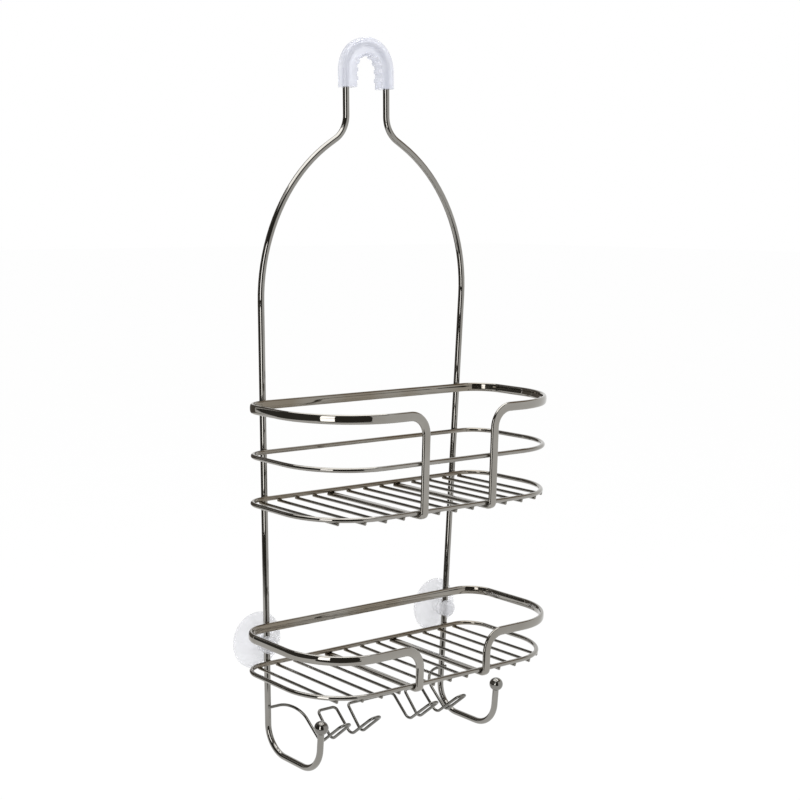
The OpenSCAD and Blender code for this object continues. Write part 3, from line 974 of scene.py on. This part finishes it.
@dataclass
class SaddleGrip:
    """The soft ribbed saddle that sits on the shower arm, moulded round the wire loop.

    It is built about its own centre, with the arm along Y, and then leans with the neck.

    Attributes:
        valley_r: Radius of the valleys between its ribs.
        outer_r: Outside radius.
        thickness: Thickness along the arm.
        limb: Length of the straight limbs.
        edge_r: Corner radius of the outside edges.
        lip_r: Corner radius of the inside edges.
        crest_r: Radius of the arm that the ribs rest on.
        rib_r: Half the width of a rib.
        rib_bevel: Width of the bevel along a rib's edges.
        rib_gaps: Gaps between ribs round the half circle.
        channel_r: Radius of the channel round the wire.
    """

    valley_r: float = 14.8 * MM
    outer_r: float = 29.5 * MM
    thickness: float = 12.0 * MM
    limb: float = 15.5 * MM
    edge_r: float = 3.0 * MM
    lip_r: float = 1.2 * MM
    crest_r: float = 13.0 * MM
    rib_r: float = 1.8 * MM
    rib_bevel: float = 0.35 * MM
    rib_gaps: int = 6
    channel_r: float = 3.05 * MM

    def build(self) -> None:
        """Builds the grip in place of its plain solid."""
        grip = self._arch()
        cut(grip, self._ribs(), "UNION")
        cut(grip, self._channel(), "DIFFERENCE")
        grip.rotation_euler = (-math.radians(HANGER.neck_lean), 0.0, 0.0)
        settle(grip, 35.0)
        fit(grip, "saddle_grip", CADDY, Finish.GRIP)
        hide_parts("arm_grip")

    def _arch(self) -> Piece:
        """The arch and its two limbs, without ribs.

        Returns:
            The arch.
        """
        middle = (self.valley_r + self.outer_r) / 2
        size = (self.outer_r - self.valley_r, self.thickness, 1.0)
        arch = primitive("plane", size, size=1.0, location=(middle, 0.0, 0.0))
        for wanted, radius, segments in (
            (lambda place: place.x > middle, self.edge_r, 7),
            (lambda place: place.x < middle, self.lip_r, 4),
        ):
            pick(arch, "VERT", wanted)
            bpy.ops.mesh.bevel(offset=radius, segments=segments, affect="VERTICES")
        open_mesh(arch, "FACE")
        bend(ORIGIN, ALONG_Y, steps=64, angle=math.pi)
        close_mesh(arch, fill=True)
        self._lower_ends(arch, self.limb)
        return arch

    @staticmethod
    def _lower_ends(piece: Piece, length: float) -> None:
        """Pulls the two flat ends of an arch down.

        Args:
            piece: The arch, with its ends at the level of its centre.
            length: How far they go down.
        """
        flat = 0.9
        level = HANGER.loop_flat
        pick(piece, "FACE", lambda centre, normal: abs(normal.z) > flat and centre.z < level)
        pull((0.0, 0.0, -length))

    def _ribs(self) -> Piece:
        """All ribs, as one object.

        Returns:
            The ribs.
        """
        size = (2 * self.rib_r, self.thickness - 2 * self.lip_r, 2 * self.rib_r)
        rib = primitive("cube", size, size=1.0)
        open_mesh(rib, "FACE")
        bpy.ops.mesh.bevel(offset=self.rib_bevel, segments=3, affect="EDGES")
        reach = self.crest_r + self.rib_r
        ribs = []
        for gap in range(self.rib_gaps + 1):
            angle = gap * math.pi / self.rib_gaps
            spot = Vector((math.cos(angle), 0.0, math.sin(angle))) * reach
            ribs.append(copy_to(rib, spot, Euler((0.0, -angle, 0.0))))
        drop = math.pi * self.valley_r / self.rib_gaps
        ribs += [copy_to(rib, Vector((side * reach, 0.0, -drop))) for side in (-1, 1)]
        bpy.data.objects.remove(rib)
        return join(ribs)

    def _channel(self) -> Piece:
        """The space that the wire loop takes up in the grip.

        Returns:
            The space, as a solid.
        """
        half_flat = HANGER.loop_flat / 2
        settings = {"vertices": 32, "radius": self.channel_r, "fill_type": "NGON"}
        channel = primitive("circle", **settings, location=(HANGER.loop_r, 0.0, half_flat))
        open_mesh(channel, "FACE")
        bend((half_flat, 0.0, half_flat), ALONG_Y, steps=28)
        pull((-HANGER.loop_flat, 0.0, 0.0))
        bend((-half_flat, 0.0, half_flat), ALONG_Y, steps=28)
        close_mesh(channel, fill=True)
        self._lower_ends(channel, self.limb + self.thickness)
        return channel


# ---------- suction cups


@dataclass
class SuctionCup:
    """A clear suction cup that snaps on to an upright with its slit head.

    It is built about the centre line of its upright, facing the wall.

    Attributes:
        side: "left" or "right".
        outward: 1 on the right and -1 on the left.
        cup_r: Radius of the disc.
        reach: Distance back to the plane of the rim.
        hollow: Depth of the hollow.
        wall: Thickness of the disc near its middle.
        lip: Width of the flat rim.
        lip_t: Thickness of that rim.
        lip_edge: Bevel of its outside edge.
        soft_edge: How far the disc's curved faces end short of the rim.
        neck_r: Radius of the neck.
        head_r: Radius of the head.
        head_front: Reach of the head in front of the upright's centre.
        head_back: Its reach behind.
        head_edge: Corner radius of the head's front.
        fillet: Radius of the soft corners at the neck.
        bore_r: Radius of the bore round the upright.
        slit: Width of the slit.
    """

    side: str
    outward: int
    cup_r: float = 27.0 * MM
    reach: float = 16.5 * MM
    hollow: float = 4.0 * MM
    wall: float = 2.4 * MM
    lip: float = 1.2 * MM
    lip_t: float = 0.8 * MM
    lip_edge: float = 0.3 * MM
    soft_edge: float = 0.2 * MM
    neck_r: float = 6.2 * MM
    head_r: float = 8.3 * MM
    head_front: float = 8.6 * MM
    head_back: float = 4.6 * MM
    head_edge: float = 4.0 * MM
    fillet: float = 1.0 * MM
    bore_r: float = 3.05 * MM
    slit: float = 3.6 * MM

    def build(self) -> None:
        """Builds the cup in place of its plain solid."""
        cup = lathe(self._outline(), steps=96)
        for tool in self._tools():
            cut(cup, tool, "DIFFERENCE")
        node = f"suction_cup_{self.side}"
        low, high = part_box(node)
        cup.location = ((low.x + high.x) / 2, low.y + self.head_front, (low.z + high.z) / 2)
        settle(cup, 35.0)
        fit(cup, f"clear_cup_{self.side}", f"{self.side}_cup", Finish.CUP)
        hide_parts(node)

    def _outline(self) -> list[tuple[float, float]]:
        """The cup's outline from the front of the head round to the middle of the hollow.

        Returns:
            Pairs of radius and place towards the wall.
        """
        bottom = self.reach - self.hollow
        front = self.reach - self.hollow - self.wall
        lip_front = self.reach - self.lip_t
        inner_r = self.cup_r - self.lip
        edge, soft, bevel = self.head_edge, self.fillet, self.lip_edge
        foot = self.neck_r + soft
        foot_y = self._bowl(front, self.cup_r, lip_front - front, foot)
        # The middle of a quarter circle lies this far in from its corner.
        inset = 0.3 * soft
        line = [(0.0, -self.head_front)]
        line += self._corner(self.head_r - edge, edge - self.head_front, edge, -90, 0, 8)
        line += self._corner(self.head_r - soft, self.head_back - soft, soft, 0, 90, 4)
        line += [(self.neck_r + soft / 2, self.head_back), (self.neck_r, self.head_back + soft / 2)]
        line += [(self.neck_r, foot_y - soft), (self.neck_r + inset, foot_y - inset)]
        for radius in self._steps(foot, self.cup_r - self.soft_edge, 18):
            line.append((radius, self._bowl(front, self.cup_r, lip_front - front, radius)))
        line += [(self.cup_r, lip_front), (self.cup_r, self.reach - bevel)]
        line += [(self.cup_r - bevel, self.reach), (inner_r, self.reach)]
        for radius in self._steps(inner_r - 2 * self.soft_edge, 0.0, 16):
            line.append((radius, self._bowl(bottom, inner_r, self.hollow, radius)))
        return line

    @staticmethod
    def _bowl(bottom: float, half_chord: float, rise: float, radius: float) -> float:
        """Place along Y, at a radius, of a bowl's face that rises so far over half its chord."""
        sphere_r = (half_chord**2 + rise**2) / (2 * rise)
        return bottom + sphere_r - math.sqrt(sphere_r**2 - radius**2)

    @staticmethod
    def _steps(start: float, end: float, count: int) -> list[float]:
        """Evenly spaced values from start to end."""
        return [start + (end - start) * index / count for index in range(count + 1)]

    @staticmethod
    def _corner(
        x: float, y: float, radius: float, start: float, end: float, count: int
    ) -> list[tuple[float, float]]:
        """The points of an arc about x and y, from start to end in degrees, in so many steps."""
        turns = [math.radians(turn) for turn in SuctionCup._steps(start, end, count)]
        return [(x + radius * math.cos(turn), y + radius * math.sin(turn)) for turn in turns]

    def _tools(self) -> tuple[Piece, Piece]:
        """The bore for the upright, and the slit through which the head snaps on.

        Returns:
            A cylinder, and a box from its middle to the left, both at the upright's lean.
        """
        reach = 2 * self.head_r
        size = (reach, self.slit, 2 * reach)
        bore = primitive("cylinder", vertices=48, radius=self.bore_r, depth=2 * reach)
        slit = primitive("cube", size, size=1.0, location=(-reach / 2, 0.0, 0.0))
        for tool in (bore, slit):
            tool.rotation_euler = (0.0, math.radians(self.outward * HANGER.upright_lean), 0.0)
        return bore, slit


# ---------- studio


@dataclass
class Card:
    """A studio card that only reflections see.

    Attributes:
        name: The object's name.
        heading: Where it stands round the caddy, in degrees from the camera's side, to the right.
        height: Its middle above the caddy's middle, in metres.
        distance: How far it stands from the caddy's middle, in metres.
        size: Its width and height, in metres.
        colour: What it shows.
        upright: Whether it stands upright or tilts to the caddy.
    """

    name: str
    heading: float
    height: float
    distance: float
    size: tuple[float, float]
    colour: Triple
    upright: bool = True


@dataclass
class Studio:
    """Floor, world, lamps, cards and camera.

    Attributes:
        eye: The camera's place.
        yaw: The camera's heading, in degrees to the left of +Y.
        pitch: How far the camera looks down, in degrees.
        roll: How far the camera is rolled, in degrees.
        lens: Focal length in millimetres on a 36 mm sensor.
        shift: The camera's shift.
        floor_drop: How far the floor lies under the caddy.
        floor_glow: How much of the floor's white is its own light.
        cards: The cards round the caddy.
    """

    eye: Triple = (-0.86865, -1.04278, -0.12529)
    yaw: float = -34.766
    pitch: float = 10.48
    roll: float = 0.198
    lens: float = 64.70
    shift: tuple[float, float] = (0.2078, 0.0956)
    floor_drop: float = 0.42
    floor_glow: float = 0.72
    cards: tuple[Card, ...] = (
        Card("card_front", 3.0, 0.59, 1.5, (2.15, 2.63), (0.060, 0.056, 0.048)),
        Card("card_left", -63.0, 0.56, 1.5, (2.3, 2.33), (0.070, 0.066, 0.058)),
        Card("card_back_left", -131.0, 0.60, 1.5, (1.65, 2.3), (0.16, 0.145, 0.13)),
        Card("card_right_front_high", 52.0, 1.30, 1.2, (1.1, 0.8), (0.10, 0.095, 0.085), upright=False),
        Card("card_low", 3.0, -0.587, 1.05, (1.6, 0.10), (0.08, 0.075, 0.065)),
        Card("softbox_top", -150.0, 1.80, 0.2, (2.1, 2.3), (3.3, 3.3, 3.3), upright=False),
        Card("card_right_high", 112.0, 1.05, 1.4, (1.3, 0.9), (0.33, 0.26, 0.19), upright=False),
        Card("softbox_strip", -20.0, 0.365, 1.32, (0.42, 0.70), (4.2, 4.2, 4.3)),
        Card("softbox_low", -20.0, -0.225, 1.32, (0.42, 0.41), (4.2, 4.2, 4.2)),
    )

    def middle(self) -> Vector:
        """The middle of the caddy's box."""
        low, high = (Vector(corner) for corner in CAD_BOX)
        return (low + high) / 2

    def build(self) -> None:
        """Builds the whole studio."""
        self._camera()
        self._world()
        self._floor()
        self._lamps()
        for card in self.cards:
            self._card(card)

    def _camera(self) -> None:
        """Sets the camera up."""
        data = bpy.data.cameras.new("camera")
        data.sensor_width = 36.0
        data.lens = self.lens
        data.shift_x, data.shift_y = self.shift
        data.clip_start = 0.05
        camera = bpy.data.objects.new("camera", data)
        bpy.context.scene.collection.objects.link(camera)
        turn = (
            Matrix.Rotation(math.radians(self.yaw), 4, "Z")
            @ Matrix.Rotation(math.radians(90.0 - self.pitch), 4, "X")
            @ Matrix.Rotation(math.radians(self.roll), 4, "Z")
        )
        camera.matrix_world = Matrix.Translation(Vector(self.eye)) @ turn
        bpy.context.scene.camera = camera

    def _world(self) -> None:
        """A plain white surround."""
        world = bpy.data.worlds.new("studio")
        world.use_nodes = True
        bpy.context.scene.world = world
        shop = MaterialShop("studio", world.node_tree)
        white = shop.node("Background", {}, {"Color": (1, 1, 1, 1), "Strength": 1.0})
        shop.node("OutputWorld", {}, {"Surface": white})

    def _floor(self) -> None:
        """A plain white floor well under the caddy."""
        level = Vector(CAD_BOX[0]).z - self.floor_drop
        floor = primitive("plane", size=60.0, location=(0.0, 0.0, level))
        floor.name = "floor"
        shop = MaterialShop("floor_white")
        speck = shop.noise(shop.place(), scale=6.0, detail=3.0)
        colour = shop.blend(speck, (0.955, 0.955, 0.955), (0.975, 0.975, 0.975))
        diffuse = shop.node("BsdfDiffuse", {}, {"Color": colour})
        inputs = {0: self.floor_glow, 1: diffuse, 2: shop.emission((1.0, 1.0, 1.0))}
        floor.data.materials.append(shop.finish(shop.node("MixShader", {}, inputs)))

    def _lamps(self) -> None:
        """Two large soft lamps, which reflections don't see."""
        for name, place, size, power in (
            ("lamp_left", (-1.9, -0.9, 0.9), 1.4, 9.0),
            ("lamp_top", (0.3, -0.9, 1.9), 1.6, 9.0),
        ):
            data = bpy.data.lights.new(name, "AREA")
            data.size = size
            data.energy = power
            lamp = bpy.data.objects.new(name, data)
            bpy.context.scene.collection.objects.link(lamp)
            lamp.location = place
            lamp.rotation_euler = (self.middle() - Vector(place)).to_track_quat("-Z", "Y").to_euler()
            lamp.visible_glossy = False

    def _card(self, card: Card) -> None:
        """Stands one card up, turned to the caddy.

        Args:
            card: What to build.
        """
        middle = self.middle()
        sight = Vector(self.eye) - middle
        bearing = math.atan2(sight.y, sight.x) + math.radians(card.heading)
        across = (math.cos(bearing) * card.distance, math.sin(bearing) * card.distance)
        place = middle + Vector((*across, card.height))
        facing = middle - place
        if card.upright:
            facing.z = 0.0
        tilt = facing.to_track_quat("Z", "Y").to_euler()
        panel = primitive("plane", (*card.size, 1.0), size=1.0, location=place, rotation=tilt)
        panel.name = card.name
        shop = MaterialShop(card.name)
        panel.data.materials.append(shop.finish(shop.emission(card.colour)))
        for ray in ("camera", "diffuse", "shadow", "transmission"):
            setattr(panel, f"visible_{ray}", False)


def main() -> None:
    """Builds the pieces in order."""
    logging.basicConfig(level=logging.INFO, format="%(name)s: %(message)s")
    bpy.context.scene.view_settings.view_transform = "Standard"
    WireWork().dress()
    FrameWire().build()
    RazorWire().build()
    BasketRim("upper", 71.5 * MM).build()
    BasketRim("lower", 57.0 * MM).build()
    WeldWork().build()
    SaddleGrip().build()
    SuctionCup("left", -1).build()
    SuctionCup("right", 1).build()
    Studio().build()


if __name__ == "__main__":
    main()
